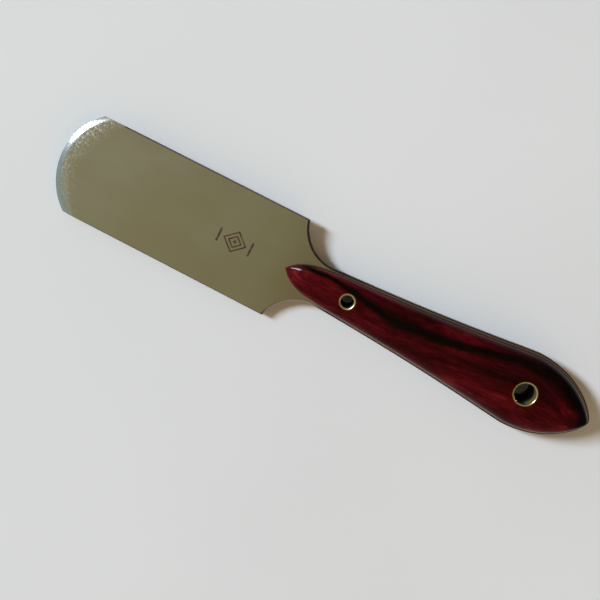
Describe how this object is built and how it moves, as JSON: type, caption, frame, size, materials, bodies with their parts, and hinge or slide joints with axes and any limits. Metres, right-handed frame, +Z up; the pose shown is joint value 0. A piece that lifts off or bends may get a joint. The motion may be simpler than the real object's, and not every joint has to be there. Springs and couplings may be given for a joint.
{
  "type": "skiving knife",
  "caption": "Flat leather skiving knife with a rounded cutting edge, a full tang, two crowned dark red wooden scales and brass tubes through the handle.",
  "frame": {"origin": "bottom centre of the knife's box, on the plane that touches the lower scale's crown, with the blade level", "axes": "+X along the knife towards the cutting edge, +Y across the blade, +Z up through the upper scale; the wider bevel is on the lower face"},
  "size_m": [0.21, 0.0382, 0.0156],
  "materials": {
    "steel": "fine satin polish, brighter on the hone strip along the cutting edge",
    "wood": "glossy, dark red with near-black streaks along the grain",
    "adhesive": "cured dark adhesive",
    "brass": "polished lips, duller inside the bore"
  },
  "bodies": {
    "root": {"blade": "steel", "upper_scale": "wood", "lower_scale": "wood", "upper_scale_bond": "adhesive", "lower_scale_bond": "adhesive", "front_tube_rivet": "brass", "rear_lanyard_tube": "brass"}
  },
  "joints": []
}
